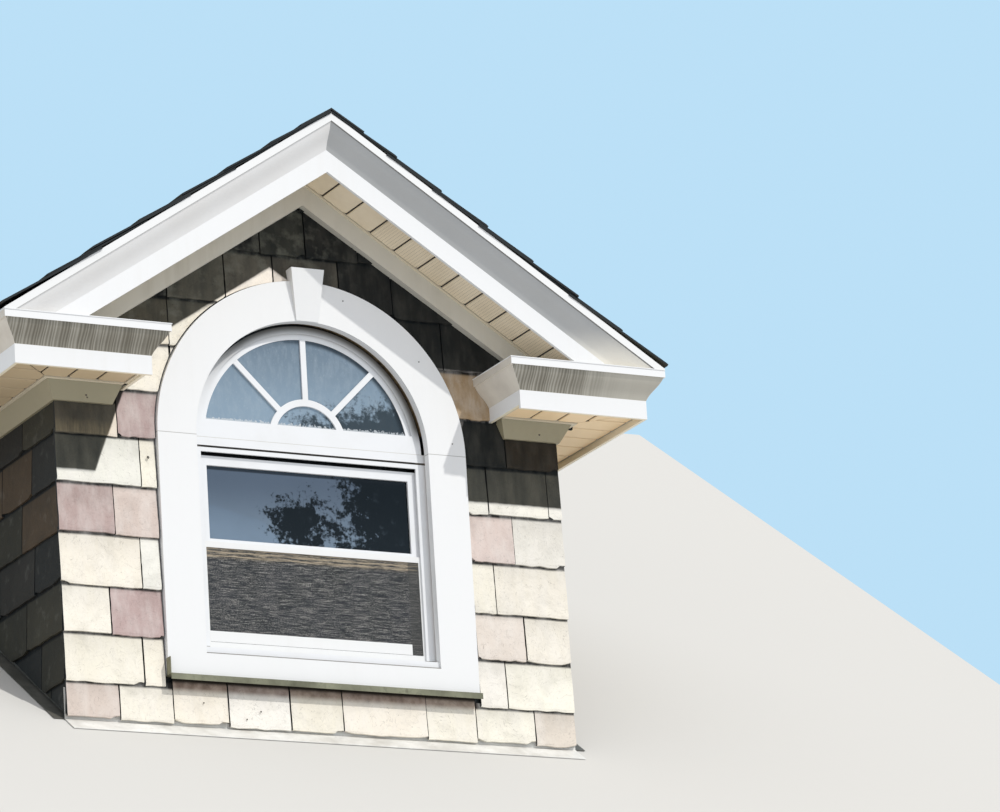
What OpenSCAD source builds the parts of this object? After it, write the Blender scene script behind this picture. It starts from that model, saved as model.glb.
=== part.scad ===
// Gabled dormer window with slated walls, boxed cornice returns and an arch-topped window.
// Millimetres. +X is to the right seen from the front, +Y runs back into the main roof, +Z is up.
// The origin lies on the main roof's surface, under the middle of the front wall's slate face.

/* [Walls] */
// Width of the front wall over its slates
wall_w = 1680; // [1500:10:1900]
// Thickness of the framed walls
wall_t = 110; // [90:1:140]
// Depth of the hung wall slates at their lower edges
slate_t = 18; // [12:1:24]
// Height of slate that each course shows on the walls
wall_exposure = 152; // [120:1:180]
// Height of the lowest wall slates above the main roof
foot_gap = 18; // [12:1:30]
// Height of the first course line above the slates' foot
first_course = 107; // [90:1:150]
// Pitch of the main roof that the dormer stands on, in degrees
main_pitch = 33.7; // [28:0.1:38]

/* [Roof] */
// Pitch of the dormer's own roof, in degrees
roof_pitch = 33.2; // [30:0.1:36]
// Height of the roof boards' top over the eave crown's outer edge
roof_lift = 6; // [3:1:12]
// Thickness of the roof boards
board_t = 16; // [12:1:22]
// Distance that the roof boards stop short of the crown's edge
board_back = 15; // [8:1:25]
// Gap between the left and the right slope's boards and slates at the ridge
ridge_gap = 2; // [1:1:6]
// Width of a rafter
rafter_w = 38; // [30:1:50]
// Depth of a rafter, square to the slope
rafter_d = 89; // [80:1:95]
// Distance from one rafter to the next
rafter_step = 400; // [300:10:600]
// Depth of the notch that seats a rafter on a cheek
notch_d = 25; // [15:1:30]
// Thickness of the ridge board
ridge_board_w = 22; // [18:1:38]
// Depth of the ridge board
ridge_board_d = 108; // [95:1:112]
// Thickness of the roof slates at their lower edges
roof_slate_t = 15; // [10:1:20]
// Length of slate that each course shows on the roof
roof_exposure = 178; // [140:1:220]
// Distance that the roof slates overhang the crown moulding
slate_over = 5; // [3:1:20]
// Width of one leg of the ridge cap
ridge_cap_w = 118; // [80:1:150]
// Thickness of the ridge cap
ridge_cap_t = 5; // [4:1:12]

/* [Cornice] */
// Distance from the slates to the face of the rake fascia
rake_out = 201; // [150:1:260]
// Distance from the side slates to the face of the eave fascia
eave_out = 207; // [150:1:260]
// Height of the level fascia's lower edge
level_z = 1013; // [1010:1:1030]
// Thickness of the fascia boards
fascia_t = 11; // [9:1:28]
// Height of the fascia that shows below the crown
fascia_h = 58; // [45:1:75]
// Height of the crown moulding's ogee
crown_h = 66; // [50:1:75]
// Distance that the crown stands out of the fascia
crown_out = 47; // [35:1:60]
// Distance that a return's sheet overhangs the crown
cap_over = 2; // [1:0.5:4]
// Height of the square fillet on top of the crown
fillet_h = 22; // [18:1:30]
// Width of the fillet's flat underside
fillet_lip = 4; // [3:1:12]
// Fullness of the ogee: 0 is a flat bevel
crown_swell = 0.3; // [0:0.05:0.6]
// Distance that the fascia hangs below the soffit
soffit_lip = 20; // [12:1:26]
// Distance that the board at a return's inner end hangs below the soffit
end_lip = 7; // [3:1:11]
// Thickness of the soffit panels
soffit_t = 10; // [6:1:12]
// Height of the rake frieze boards, square to the slope
frieze_h = 60; // [45:1:75]
// Distance that the rake frieze boards stand out of the slates
frieze_out = 20; // [12:1:28]
// Height of the leaning boards under the level soffits
bed_h = 56; // [45:1:70]
// Distance that a leaning board's foot stands out of the slates
bed_foot_out = 4; // [2:1:8]
// Distance that a leaning board's top stands out of the slates
bed_out = 35; // [20:1:45]
// Slant of a leaning board's inner end
bed_end_out = 22; // [10:1:22]
// Length of a cornice return along the front
return_w = 437; // [380:1:450]
// Distance from a return's inner end to the foot of its leaning board's end
frieze_back = 43; // [43:1:60]
// Thickness of the sheet on top of a return
cap_t = 2.5; // [1.5:0.5:4]

/* [Window trim] */
// Width of the casing boards
casing_w = 127; // [100:1:140]
// Distance that the casing stands out of the slates
casing_out = 9; // [6:1:30]
// Clear width between the side casings
casing_gap = 772; // [700:2:800]
// Height of the arch's springing line
spring_z = 905; // [880:1:920]
// Height of the bottom casing's lower edge
casing_z = 160; // [150:1:170]
// Height of the bottom casing board
bottom_casing_h = 75; // [60:1:85]
// Width of the keystone at its top
key_top_w = 110; // [90:1:130]
// Width of the keystone at its foot
key_foot_w = 74; // [60:1:85]
// Distance that the keystone rises above the arch casing
key_rise = 35; // [20:1:45]
// Distance that the keystone's top stands out of the casing
key_out = 24; // [18:1:40]
// Distance that the keystone's foot stands out of the casing
key_foot_out = 4; // [1:1:8]
// Height of the sill drip's front face
drip_h = 18; // [12:1:25]
// Distance that the sill drip stands out of the casing
drip_out = 19; // [6:1:24]
// Thickness of the sheet metal flashings
sheet_t = 2; // [1:0.5:3]
// Height of the drip's upturned left end
dam_h = 52; // [30:1:60]
// Width of the apron flashing's flange on the main roof
flange_w = 56; // [45:1:130]
// Width of the side flashings' flanges on the main roof
side_flange_w = 34; // [30:1:100]

/* [Window] */
// Width of the frame's face beside the casing
frame_face = 28; // [24:1:42]
// Depth of the frame's face behind the casing's back
frame_back = 9; // [4:1:14]
// Distance that the frame reaches out behind the casing
frame_cover = 6; // [3:1:12]
// Thickness of the frame's front lip
lip_t = 6; // [4:1:8]
// Distance that the lip covers the sashes and the screen
lip_w = 12; // [9:1:18]
// Height of the frame's sill
sill_h = 27; // [20:1:34]
// Distance that the sill's nose lies behind the casing's face
nose_back = 8; // [4:1:14]
// Fall of the sill's nose below the sill's top
nose_drop = 8; // [4:1:14]
// Fall of the sill's top at the frame's face
sill_fall = 2; // [1:1:4]
// Height of the joint between the window and the fanlight
mull_z = 911; // [906:1:914]
// Height of the frame's head member
head_h = 27; // [20:1:32]
// Height of the stop strip under the head
stop_h = 14; // [10:1:20]
// Height of the grooves beside the stop strip
groove_h = 4; // [2:1:5]
// Thickness of a sash
sash_t = 26; // [22:1:30]
// Width of a sash stile
stile_w = 34; // [26:1:40]
// Height of the upper sash's top rail
top_rail_h = 56; // [48:1:64]
// Height of the top rail that the stop strip hides
rail_cover = 18; // [12:1:24]
// Height of the gap between the stop strip and the top rail's face
top_gap_h = 9; // [5:1:12]
// Depth of the gap over the top rail's face
top_gap_d = 18; // [10:1:20]
// Height of the rails that meet in the middle
meeting_h = 32; // [26:1:40]
// Height of the lower edge of the upper sash
meeting_z = 568; // [540:1:600]
// Height of the lower sash's bottom rail
bottom_rail_h = 52; // [40:1:62]
// Thickness of the panes
pane_t = 4; // [3:1:6]
// Depth of the panes behind a sash's face
pane_back = 8; // [6:1:12]
// Running clearance between the sashes
sash_gap = 1; // [0.5:0.5:2]
// Clearance between the frame's lip, the screen and the upper sash
screen_gap = 0.5; // [0.3:0.1:1]

/* [Screen] */
// Thickness of the screen's frame
screen_t = 7; // [5:1:8]
// Width of the screen's frame bars
screen_bar = 18; // [12:1:22]
// Height of the screen's top edge
screen_top = 589; // [569:1:597]
// Depth of the cloth behind the screen frame's face
cloth_back = 2; // [1:0.5:3]
// Thickness of the screen cloth
cloth_t = 1; // [0.5:0.5:2]

/* [Fanlight] */
// Width of the ring between the frame's face and the fanlight's glass
fan_ring_w = 18; // [5:1:24]
// Depth of the fanlight's glass behind the frame's face
fan_glass_back = 8; // [6:1:14]
// Width of the gap between the fanlight's frame and the arch casing
fan_gap_w = 5; // [3:1:8]
// Depth of the gap between the fanlight's frame and the arch casing
fan_gap_d = 16; // [8:1:24]
// Height of the fanlight's bottom rail
fan_rail_h = 57; // [45:1:65]
// Height of the hub's centre
hub_z = 928; // [920:1:940]
// Inner radius of the hub ring
hub_r = 107; // [90:1:120]
// Width of the hub ring
hub_ring_w = 21; // [16:1:26]
// Width of the spokes
spoke_w = 18; // [14:1:24]
// Number of spokes
spokes = 3; // [3:2:5]
// Depth of the glazing bars
bar_t = 12; // [8:1:14]

/* [Hidden] */
$fn = 96;
big = 4000;
tiny = 0.01;

half_w = wall_w / 2;
wall_x = half_w - slate_t;
inner_x = wall_x - wall_t;
front_y = slate_t;
back_y = slate_t + wall_t;

eave_x = half_w + eave_out;
rake_y = -rake_out;
crown_x = eave_x + crown_out;
crown_y = rake_y - crown_out;
return_x = eave_x - return_w;
crown_z = level_z + fascia_h;
cap_z = crown_z + crown_h + fillet_h;
cap_top = cap_z + cap_t;

rise = tan(roof_pitch);
square = cos(roof_pitch);
ridge_z = cap_z + roof_lift + rise * crown_x;
// Height of the line that lies n below the top of the roof boards, square to the slope, at distance x
function roof_z(x, n) = ridge_z - rise * x - n / square;
// Height at depth y of the plane that lies up above the main roof, square to it
function main_z(y, up) = y * tan(main_pitch) + up / cos(main_pitch);

soffit_z = level_z + soffit_lip;
frieze_z = soffit_z - bed_h;
bed_end_x = return_x + frieze_back;

crown_n = fillet_h + crown_h;
fascia_n = crown_n + fascia_h;
soffit_n = fascia_n - soffit_lip;
frieze_n = soffit_n + frieze_h;
rafter_n = board_t + rafter_d;
board_x = crown_x - board_back;
plate_z = roof_z(wall_x, rafter_n) + notch_d;
ridge_board_top = roof_z(ridge_board_w / 2, board_t);
back_end = 1.1 * ridge_z / tan(main_pitch);
rafter_end = roof_z(ridge_board_w / 2, rafter_n) / tan(main_pitch);

course_z = foot_gap + first_course;
thin_t = slate_t * 0.55;
roof_thin_t = roof_slate_t * 0.4;
roof_len = (crown_x + slate_over) / square;
roof_courses = floor(roof_len / roof_exposure);
top_butt = roof_len - (roof_courses - 1) * roof_exposure;

casing_x = casing_gap / 2;
casing_out_x = casing_x + casing_w;
casing_top = casing_z + bottom_casing_h;
arch_top = spring_z + casing_out_x;
key_foot_z = spring_z + casing_x;
key_top_z = arch_top + key_rise;

frame_x = casing_x + frame_cover;
clear_x = casing_x - frame_face;
sash_x = clear_x + lip_w;
frame_y = front_y + frame_back;
lip_y = frame_y + lip_t;
sill_z = casing_top;
sill_top = sill_z + sill_h;
head_z = mull_z - head_h;
stop_z = head_z - groove_h - stop_h;
screen_y = lip_y + screen_gap;
upper_y = screen_y + screen_t + screen_gap;
lower_y = upper_y + sash_t + sash_gap;
sash_top = stop_z + rail_cover;
fan_glass_y = frame_y + fan_glass_back;
fan_glass_r = clear_x - fan_ring_w;

// Pushes a flat shape drawn in Y and Z along X
module along_x(x0, x1) {
    translate([x0, 0, 0]) rotate([90, 0, 90]) linear_extrude(x1 - x0) children();
}

// Pushes a flat shape drawn in X and Z along Y
module along_y(y0, y1) {
    translate([0, y1, 0]) rotate([90, 0, 0]) linear_extrude(y1 - y0) children();
}

// Pushes a plan drawn in X and Y up along Z
module along_z(z0, z1) {
    translate([0, 0, z0]) linear_extrude(z1 - z0) children();
}

// The space under the main roof's surface
module under_main_roof(raise = 0) {
    rotate([main_pitch, 0, 0]) translate([-big, -big, raise - big]) cube([2 * big, 2 * big, big]);
}

// Cuts a piece off at the main roof
module on_main_roof() {
    difference() {
        children();
        under_main_roof();
    }
}

module left_side() {
    mirror([1, 0, 0]) children();
}

module both_sides() {
    children();
    left_side() children();
}

// A flat band in X and Z along the right-hand slope, from n0 to n1 under the boards' top
module slope_band(x0, x1, n0, n1) {
    polygon([[x0, roof_z(x0, n1)], [x1, roof_z(x1, n1)], [x1, roof_z(x1, n0)], [x0, roof_z(x0, n0)]]);
}

// Keeps what stands above the sheet on top of a return
module above_return() {
    intersection() {
        children();
        translate([-big, -big, cap_top]) cube([2 * big, 2 * big, big]);
    }
}

// Saw-tooth section of hung slates: x is depth in from the face, y is height
module course_section(z0, z1) {
    count = ceil((z1 - course_z) / wall_exposure);
    lines = [z0, for (i = [0 : count - 1]) course_z + i * wall_exposure, z1];
    polygon(concat(
        [[slate_t, z1], [slate_t, z0]],
        [for (i = [0 : len(lines) - 2]) each [[0, lines[i]], [slate_t - thin_t, lines[i + 1]]]]
    ));
}

// Section of the crown moulding: x is out from the fascia, y is height over its foot
module crown_section() {
    ogee = crown_out - fillet_lip;
    polygon(concat(
        [[0, crown_h + fillet_h]],
        [for (t = [0 : 1 / 12 : 1]) [ogee * (t - crown_swell * sin(360 * t) / (2 * PI)), crown_h * t]],
        [[crown_out, crown_h], [crown_out, crown_h + fillet_h]]
    ));
}

module front_wall() {
    color("burlywood") on_main_roof() difference() {
        along_y(front_y, back_y) difference() {
            polygon([[-wall_x, 0], [wall_x, 0], [wall_x, roof_z(wall_x, rafter_n)],
                [0, roof_z(0, rafter_n)], [-wall_x, roof_z(wall_x, rafter_n)]]);
            arched_outline(frame_x);
        }
        ridge_board_blank();
    }
}

// Outline of an arched opening of radius r that stands on the sill's foot
module arched_outline(r) {
    translate([-r, sill_z]) square([2 * r, spring_z - sill_z]);
    translate([0, spring_z]) circle(r);
}

// The space for the window's frames inside the wall's opening
module frame_space() {
    intersection() {
        along_y(frame_y, back_y) arched_outline(frame_x);
        children();
    }
}

module cheek() {
    color("burlywood") on_main_roof()
        translate([inner_x, back_y, 0]) cube([wall_t, back_end, plate_z]);
}

// Outline of the slated field on the front wall
module front_field() {
    difference() {
        polygon([[-half_w, foot_gap], [half_w, foot_gap], [half_w, roof_z(half_w, frieze_n)],
            [0, roof_z(0, frieze_n)], [-half_w, roof_z(half_w, frieze_n)]]);
        for (s = [-1, 1]) scale_x(s) {
            polygon([[bed_end_x, frieze_z], [big, frieze_z], [big, soffit_z],
                [bed_end_x - bed_end_out, soffit_z]]);
            translate([return_x, level_z]) square([big, cap_top - level_z]);
            translate([return_x, crown_z]) mirror([1, 0]) crown_section();
            translate([return_x - crown_out - cap_over, cap_z]) square([big, cap_t]);
        }
        casing_outline();
        translate([-casing_out_x, casing_z - drip_h]) square([2 * casing_out_x, drip_h]);
        keystone_outline();
    }
}

// Mirrors a flat shape to the left where s is -1
module scale_x(s) {
    if (s < 0) mirror([1, 0]) children();
    else children();
}

// Outline of the window casing's outer edge
module casing_outline() {
    translate([-casing_out_x, casing_z]) square([2 * casing_out_x, spring_z - casing_z]);
    translate([0, spring_z]) circle(casing_out_x);
}

module keystone_outline() {
    polygon([[-key_foot_w / 2, key_foot_z], [key_foot_w / 2, key_foot_z],
        [key_top_w / 2, key_top_z], [-key_top_w / 2, key_top_z]]);
}

module front_slates() {
    color("lightgrey") difference() {
        intersection() {
            along_x(-half_w, half_w) course_section(foot_gap, ridge_z);
            along_y(-front_y, front_y) front_field();
        }
        apron_upstand();
    }
}

module cheek_slates() {
    color("dimgrey") difference() {
        translate([half_w, 0, 0]) mirror([1, 0, 0])
            along_y(front_y, back_end) course_section(foot_gap, frieze_z);
        under_main_roof(foot_gap * cos(main_pitch));
        side_upstand();
    }
}

// The part of the apron that turns up behind the lowest slates
module apron_upstand() {
    translate([-half_w, front_y - sheet_t, 0]) cube([wall_w, sheet_t, first_course]);
}

module apron_flashing() {
    toe_y = -flange_w * cos(main_pitch);
    bend_y = front_y - sheet_t;
    color("silver") along_x(-half_w, half_w) polygon([[toe_y, main_z(toe_y, 0)],
        [front_y, main_z(front_y, 0)], [front_y, first_course], [bend_y, first_course],
        [bend_y, main_z(bend_y, sheet_t)], [toe_y, main_z(toe_y, sheet_t)]]);
}

// The part of a side flashing that turns up behind the cheek's slates
module side_upstand() {
    intersection() {
        translate([wall_x, front_y, 0]) cube([sheet_t, back_end, frieze_z]);
        under_main_roof(first_course);
    }
}

module side_flashing() {
    end_y = frieze_z / tan(main_pitch);
    color("silver") {
        on_main_roof() side_upstand();
        along_x(wall_x, half_w + side_flange_w) polygon([[front_y, main_z(front_y, 0)],
            [end_y, main_z(end_y, 0)], [end_y, main_z(end_y, sheet_t)],
            [front_y, main_z(front_y, sheet_t)]]);
    }
}

module ridge_board_blank() {
    translate([-ridge_board_w / 2, rake_y + fascia_t, ridge_board_top - ridge_board_d])
        cube([ridge_board_w, back_end, ridge_board_d]);
}

module ridge_board() {
    color("tan") on_main_roof() ridge_board_blank();
}

module rafter(y) {
    along_y(y, y + rafter_w)
        slope_band(ridge_board_w / 2, eave_x - fascia_t, board_t, rafter_n);
}

module rafters() {
    last = floor((rafter_end - front_y) / rafter_step);
    color("tan") on_main_roof() difference() {
        union() {
            above_return() rafter(rake_y + fascia_t);
            for (i = [0 : last]) rafter(front_y + i * rafter_step);
        }
        translate([inner_x, back_y, 0]) cube([wall_t, back_end, plate_z]);
    }
}

module roof_boards() {
    color("peru") on_main_roof()
        along_y(rake_y, back_end) slope_band(ridge_gap / 2, board_x, 0, board_t);
}

// Saw-tooth section of the roof slates, laid out from the ridge down the right-hand slope
module roof_course_section() {
    starts = [0, for (i = [0 : roof_courses - 2]) top_butt + i * roof_exposure];
    butts = [for (i = [0 : roof_courses - 1]) top_butt + i * roof_exposure];
    translate([0, ridge_z]) rotate(-roof_pitch) polygon(concat(
        [[-ridge_cap_w, 0], [-ridge_cap_w, roof_thin_t]],
        [for (i = [0 : roof_courses - 1]) each [[starts[i], roof_thin_t], [butts[i], roof_slate_t]]],
        [[roof_len, 0]]
    ));
}

module roof_slates() {
    color("darkslategrey") on_main_roof() intersection() {
        along_y(crown_y - slate_over, back_end) roof_course_section();
        translate([ridge_gap / 2, -big, 0]) cube([big, 2 * big, big]);
    }
}

// One leg of the ridge cap, lying on the top course
module cap_leg() {
    foot_n = roof_thin_t + (roof_slate_t - roof_thin_t) * ridge_cap_w / top_butt;
    intersection() {
        translate([0, ridge_z]) rotate(-roof_pitch) polygon([[-ridge_cap_w, roof_thin_t],
            [0, roof_thin_t], [ridge_cap_w, foot_n], [ridge_cap_w, foot_n + ridge_cap_t],
            [0, roof_thin_t + ridge_cap_t], [-ridge_cap_w, roof_thin_t + ridge_cap_t]]);
        translate([0, -big]) square([big, 2 * big]);
    }
}

module ridge_cap() {
    color("darkslategrey") on_main_roof() along_y(crown_y - slate_over, back_end) union() {
        cap_leg();
        mirror([1, 0]) cap_leg();
    }
}

module rake_crown() {
    color("gainsboro") above_return() intersection() {
        translate([0, rake_y, ridge_z]) rotate([0, roof_pitch, 0]) along_x(-big / 8, big / 2)
            mirror([1, 0]) translate([0, -crown_n]) crown_section();
        translate([0, -big, 0]) cube([crown_x, 2 * big, big]);
    }
}

module rake_fascia() {
    color("white") above_return()
        along_y(rake_y, rake_y + fascia_t) slope_band(0, eave_x, board_t, fascia_n);
}

module rake_soffit() {
    color("wheat") above_return()
        along_y(rake_y + fascia_t, front_y) slope_band(0, eave_x, soffit_n - soffit_t, soffit_n);
}

module rake_frieze() {
    color("tan") above_return()
        along_y(-frieze_out, front_y) slope_band(0, eave_x, soffit_n, frieze_n);
}

// Plan of the crown's front run, mitred at both ends
module front_run_plan() {
    k = 2 * crown_out;
    polygon([[return_x, rake_y], [eave_x, rake_y], [eave_x + k, rake_y - k], [return_x - k, rake_y - k]]);
}

module eave_run_plan() {
    k = 2 * crown_out;
    polygon([[eave_x, rake_y], [eave_x + k, rake_y - k], [eave_x + k, back_end], [eave_x, back_end]]);
}

module end_run_plan() {
    k = 2 * crown_out;
    polygon([[return_x, rake_y], [return_x - k, rake_y - k], [return_x - k, front_y],
        [return_x, front_y]]);
}

module eave_crown() {
    color("gainsboro") on_main_roof() difference() {
        union() {
            intersection() {
                translate([0, rake_y, crown_z]) along_x(0, 2 * crown_x) mirror([1, 0]) crown_section();
                along_z(level_z, ridge_z) front_run_plan();
            }
            intersection() {
                translate([eave_x, 0, crown_z]) along_y(rake_y - big / 4, back_end) crown_section();
                along_z(level_z, ridge_z) eave_run_plan();
            }
            intersection() {
                translate([return_x, 0, crown_z]) mirror([1, 0, 0])
                    along_y(rake_y - big / 4, front_y) crown_section();
                along_z(level_z, ridge_z) end_run_plan();
            }
            along_y(rake_y, back_end) polygon([[eave_x, cap_z], [crown_x, cap_z],
                [crown_x, roof_z(crown_x, 0)], [eave_x, roof_z(eave_x, 0)]]);
        }
        along_y(rake_y, back_end) slope_band(0, board_x, -big / 8, board_t);
        along_y(rake_y, back_end) slope_band(0, crown_x + big, -big / 8, 0);
    }
}

module eave_fascia() {
    color("white") on_main_roof() {
        difference() {
            along_z(level_z, cap_z) difference() {
                translate([return_x, rake_y]) square([eave_x - return_x, back_end]);
                translate([return_x + fascia_t, rake_y + fascia_t])
                    square([eave_x - return_x - 2 * fascia_t, back_end]);
                translate([0, front_y]) square([eave_x - fascia_t, back_end]);
            }
            along_y(rake_y, back_end) slope_band(0, crown_x, -big / 8, board_t);
            translate([return_x - fascia_t, rake_y + fascia_t, soffit_z - big])
                cube([2 * fascia_t, big, big - end_lip]);
        }
    }
}

module eave_soffit() {
    color("wheat") on_main_roof() along_z(soffit_z, soffit_z + soffit_t) union() {
        translate([return_x + fascia_t, rake_y + fascia_t])
            square([eave_x - return_x - 2 * fascia_t, front_y - rake_y - fascia_t]);
        translate([wall_x, rake_y + fascia_t]) square([eave_x - wall_x - fascia_t, back_end]);
    }
}

// The leaning boards under a return and an eave, mitred at the corner and slanted at the inner end
module eave_frieze() {
    corner_foot = half_w + bed_foot_out;
    corner_top = half_w + bed_out;
    color("tan") on_main_roof() {
        intersection() {
            along_y(-big, front_y) polygon([[bed_end_x, frieze_z], [corner_foot, frieze_z],
                [corner_top, soffit_z], [bed_end_x - bed_end_out, soffit_z]]);
            along_x(0, big) polygon([[-bed_foot_out, frieze_z], [front_y, frieze_z],
                [front_y, soffit_z], [-bed_out, soffit_z]]);
        }
        intersection() {
            along_y(-big, back_end) polygon([[wall_x, frieze_z], [corner_foot, frieze_z],
                [corner_top, soffit_z], [wall_x, soffit_z]]);
            along_x(0, big) polygon([[-bed_foot_out, frieze_z], [back_end, frieze_z],
                [back_end, soffit_z], [-bed_out, soffit_z]]);
        }
    }
}

module return_cap() {
    color("silver") along_z(cap_z, cap_top) union() {
        translate([return_x - crown_out - cap_over, crown_y - cap_over])
            square([eave_x - return_x + crown_out + cap_over, front_y - crown_y + cap_over]);
        translate([eave_x, crown_y - cap_over]) square([crown_out, crown_out + cap_over]);
    }
}

module side_casings() {
    color("white") for (s = [-1, 1])
        translate([s > 0 ? casing_x : -casing_out_x, -casing_out, casing_top])
            cube([casing_w, casing_out + front_y, spring_z - casing_top]);
}

module arch_casing() {
    color("white") along_y(-casing_out, front_y) difference() {
        translate([0, spring_z]) circle(casing_out_x);
        translate([0, spring_z]) circle(casing_x);
        translate([-big, spring_z - big]) square([2 * big, big]);
        keystone_outline();
    }
}

module keystone() {
    color("white") intersection() {
        along_y(-big, front_y) keystone_outline();
        along_x(-key_top_w, key_top_w) polygon([[front_y, key_foot_z],
            [-casing_out - key_foot_out, key_foot_z], [-casing_out - key_out, key_top_z],
            [front_y, key_top_z]]);
        along_y(-big, front_y) difference() {
            translate([-big, 0]) square([2 * big, big]);
            translate([0, spring_z]) circle(casing_x);
        }
    }
}

module bottom_casing() {
    color("white") translate([-casing_out_x, -casing_out, casing_z])
        cube([2 * casing_out_x, casing_out + front_y, bottom_casing_h]);
}

module sill_drip() {
    lip_out = casing_out + drip_out;
    color("darkkhaki") {
        translate([-casing_out_x, -lip_out, casing_z - sheet_t])
            cube([2 * casing_out_x, lip_out + front_y, sheet_t]);
        translate([-casing_out_x, -lip_out, casing_z - drip_h])
            cube([2 * casing_out_x, sheet_t, drip_h]);
        translate([-casing_out_x - sheet_t, -lip_out, casing_z - sheet_t])
            cube([sheet_t, lip_out, dam_h]);
    }
}

// Section of the sill: x is depth, y is height
module sill_section() {
    nose_y = -casing_out + nose_back;
    polygon([[nose_y, sill_z], [back_y, sill_z], [back_y, sill_top], [screen_y, sill_top],
        [frame_y, sill_top - sill_fall], [nose_y, sill_top - nose_drop]]);
}

module window_frame() {
    color("white") {
        frame_space() both_sides() translate([sash_x, 0, sill_top])
            cube([frame_x - sash_x, back_y, mull_z - sill_top]);
        both_sides() translate([clear_x, frame_y, sill_top])
            cube([lip_w + tiny, lip_t, mull_z - sill_top]);
        translate([-sash_x, frame_y, head_z]) cube([2 * sash_x, back_y - frame_y, head_h]);
        translate([-sash_x, frame_y, stop_z]) cube([2 * sash_x, lip_t, stop_h]);
        translate([-sash_x, lip_y - sheet_t, stop_z])
            cube([2 * sash_x, sheet_t, mull_z - stop_z]);
        intersection() {
            along_x(-frame_x, frame_x) sill_section();
            union() {
                translate([-casing_x, -big, 0]) cube([2 * casing_x, 2 * big, big]);
                translate([-frame_x, front_y, 0]) cube([2 * frame_x, big, big]);
            }
        }
    }
}

// A rectangular sash with rails of its own heights
module sash(y, z0, z1, foot_h, head_rail_h) {
    along_y(y, y + sash_t) difference() {
        translate([-sash_x + sash_gap, z0]) square([2 * (sash_x - sash_gap), z1 - z0]);
        translate([-sash_x + sash_gap + stile_w, z0 + foot_h])
            square([2 * (sash_x - sash_gap - stile_w), z1 - z0 - foot_h - head_rail_h]);
    }
}

module pane(y, z0, z1, foot_h, head_rail_h) {
    translate([-sash_x + sash_gap + stile_w, y + pane_back, z0 + foot_h])
        cube([2 * (sash_x - sash_gap - stile_w), pane_t, z1 - z0 - foot_h - head_rail_h]);
}

module upper_sash() {
    color("white") difference() {
        sash(upper_y, meeting_z, sash_top, meeting_h, top_rail_h);
        translate([-sash_x, 0, stop_z - top_gap_h]) cube([2 * sash_x, upper_y + top_gap_d, big]);
    }
}

module upper_glass() {
    color("lightblue") pane(upper_y, meeting_z, sash_top, meeting_h, top_rail_h);
}

module lower_sash() {
    color("white") sash(lower_y, sill_top, meeting_z + meeting_h, bottom_rail_h, meeting_h);
}

module lower_glass() {
    color("lightblue") pane(lower_y, sill_top, meeting_z + meeting_h, bottom_rail_h, meeting_h);
}

module screen_frame() {
    color("whitesmoke") along_y(screen_y, screen_y + screen_t) difference() {
        translate([-sash_x, sill_top]) square([2 * sash_x, screen_top - sill_top]);
        translate([-sash_x + screen_bar, sill_top + screen_bar])
            square([2 * (sash_x - screen_bar), screen_top - sill_top - 2 * screen_bar]);
    }
}

module screen_mesh() {
    color("dimgrey") translate([-sash_x + screen_bar, screen_y + cloth_back, sill_top + screen_bar])
        cube([2 * (sash_x - screen_bar), cloth_t, screen_top - sill_top - 2 * screen_bar]);
}

// Outline of the fanlight's glass
module fan_outline(r) {
    intersection() {
        translate([0, spring_z]) circle(r);
        translate([-big, mull_z + fan_rail_h]) square([2 * big, big]);
    }
}

module fanlight_frame() {
    color("white") union() {
        difference() {
            frame_space() along_y(0, back_y) difference() {
                translate([-frame_x, mull_z]) square([2 * frame_x, frame_x]);
                fan_outline(clear_x);
            }
            along_y(0, frame_y + fan_gap_d) difference() {
                translate([-casing_x, mull_z]) square([2 * casing_x, big]);
                translate([0, spring_z]) circle(casing_x - fan_gap_w);
            }
        }
        along_y(lip_y, lip_y + sash_t) difference() {
            fan_outline(clear_x + tiny);
            fan_outline(fan_glass_r);
        }
    }
}

module hub_disc(r) {
    translate([0, hub_z]) circle(r);
}

module fanlight_bars() {
    color("white") along_y(fan_glass_y - bar_t / 2, fan_glass_y) intersection() {
        fan_outline(fan_glass_r);
        union() {
            difference() {
                hub_disc(hub_r + hub_ring_w);
                hub_disc(hub_r);
            }
            difference() {
                for (i = [1 : spokes]) translate([0, hub_z]) rotate(i * 180 / (spokes + 1))
                    translate([0, -spoke_w / 2]) square([big / 4, spoke_w]);
                hub_disc(hub_r + hub_ring_w / 2);
            }
        }
    }
}

module fanlight_glass() {
    color("lightblue") along_y(fan_glass_y, fan_glass_y + pane_t) fan_outline(fan_glass_r);
}

front_wall();
left_side() cheek();  // left_cheek
cheek();  // right_cheek
front_slates();
both_sides() cheek_slates();
apron_flashing();
both_sides() side_flashing();  // side_flashings
ridge_board();
left_side() rafters();  // left_rafters
rafters();  // right_rafters
left_side() roof_boards();  // left_roof_boards
roof_boards();  // right_roof_boards
left_side() roof_slates();  // left_roof_slates
roof_slates();  // right_roof_slates
ridge_cap();
left_side() rake_crown();  // left_rake_crown
rake_crown();  // right_rake_crown
left_side() rake_fascia();  // left_rake_fascia
rake_fascia();  // right_rake_fascia
left_side() rake_soffit();  // left_rake_soffit
rake_soffit();  // right_rake_soffit
left_side() rake_frieze();  // left_rake_frieze
rake_frieze();  // right_rake_frieze
left_side() eave_crown();  // left_eave_crown
eave_crown();  // right_eave_crown
left_side() eave_fascia();  // left_eave_fascia
eave_fascia();  // right_eave_fascia
both_sides() eave_soffit();  // eave_soffits
both_sides() eave_frieze();  // eave_friezes
both_sides() return_cap();  // return_caps
side_casings();
arch_casing();
keystone();
bottom_casing();
sill_drip();
window_frame();
upper_sash();
upper_glass();
lower_sash();
lower_glass();
screen_frame();
screen_mesh();
fanlight_frame();
fanlight_bars();
fanlight_glass();
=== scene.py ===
import math
import random

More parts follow.
